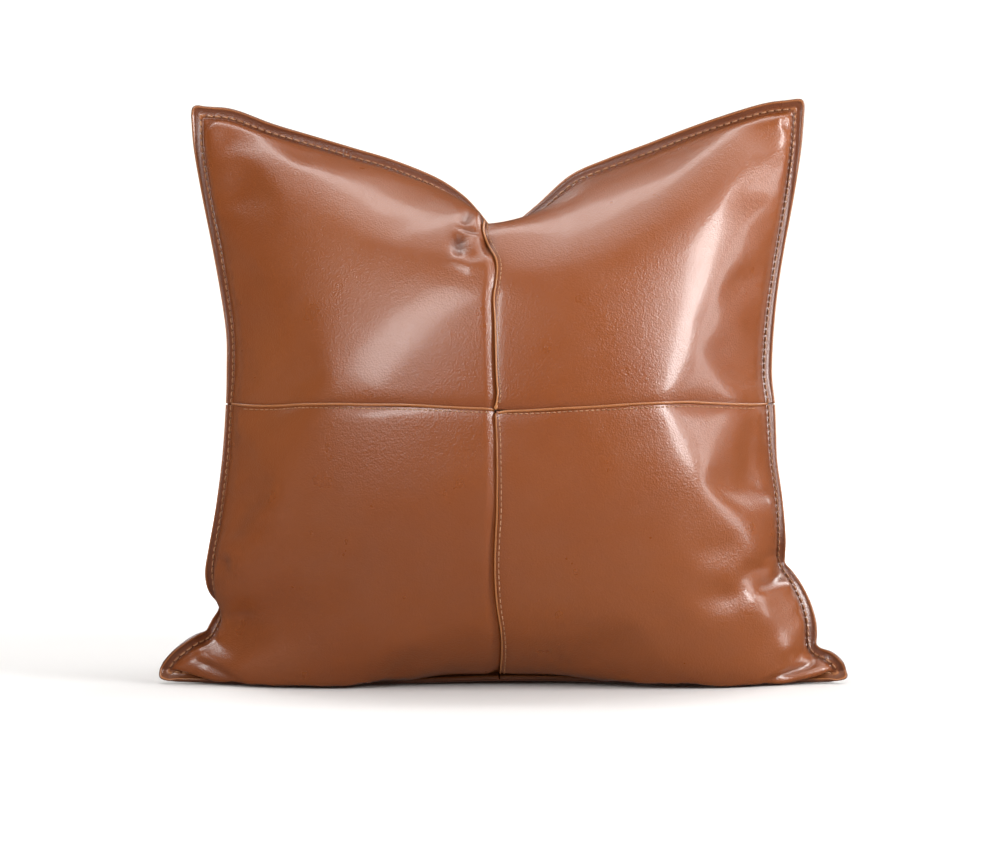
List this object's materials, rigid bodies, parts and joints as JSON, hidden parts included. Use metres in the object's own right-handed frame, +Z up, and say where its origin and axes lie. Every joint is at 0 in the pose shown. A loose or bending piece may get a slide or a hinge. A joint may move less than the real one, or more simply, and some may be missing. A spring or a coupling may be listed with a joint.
{
  "type": "throw pillow",
  "caption": "Square leather throw pillow with a flanged four-panel front, raised cross seams, a zipped back and a loose fibre insert, standing with a dented top.",
  "frame": {"origin": "under the middle of the object, on the surface it stands on", "axes": "+X to the right seen from the front, +Y from front to back, +Z up"},
  "size_m": [0.4441, 0.189, 0.379],
  "materials": {
    "leather": "glossy tan faux leather",
    "thread": "waxed sewing thread",
    "zip_metal": "antique brass",
    "zip_coil": "nylon coil",
    "zip_cloth": "woven tape",
    "insert_cloth": "plain woven cotton",
    "fibre": "loose fibre"
  },
  "bodies": {
    "cushion": {"back_panel_lower": "leather", "back_panel_upper": "leather", "fibre_core": "fibre", "front_panel_lower_left": "leather", "front_panel_lower_right": "leather", "front_panel_upper_left": "leather", "front_panel_upper_right": "leather", "insert_cloth_back": "insert_cloth", "insert_cloth_front": "insert_cloth", "seam_welt_left": "leather", "seam_welt_lower": "leather", "seam_welt_right": "leather", "seam_welt_upper": "leather", "stitching_back_bottom": "thread", "stitching_back_left": "thread", "stitching_back_right": "thread", "stitching_back_top": "thread", "stitching_front_bottom": "thread", "stitching_front_left": "thread", "stitching_front_right": "thread", "stitching_front_top": "thread", "welt_stitching_left": "thread", "welt_stitching_lower": "thread", "welt_stitching_right": "thread", "welt_stitching_upper": "thread", "zip_bottom_stop": "zip_metal", "zip_stitching_lower": "thread", "zip_stitching_upper": "thread", "zip_tape_lower": "zip_cloth", "zip_tape_upper": "zip_cloth", "zip_teeth_lower": "zip_coil", "zip_teeth_upper": "zip_coil", "zip_top_stop_lower": "zip_metal", "zip_top_stop_upper": "zip_metal"},
    "slider": {"zip_slider": "zip_metal"},
    "pull_tab": {"zip_pull_tab": "zip_metal"}
  },
  "joints": [
    {"name": "zip_slide", "type": "slide", "parent": "cushion", "child": "slider", "axis": [-1, 0, 0], "range_m": [0, 0.269]},
    {"name": "pull_tab_hinge", "type": "hinge", "parent": "slider", "child": "pull_tab", "pos_m": [0.1345, 0.05727, 0.0384], "axis": [0, -0.3907, -0.9205], "range_deg": [0, 170]}
  ]
}
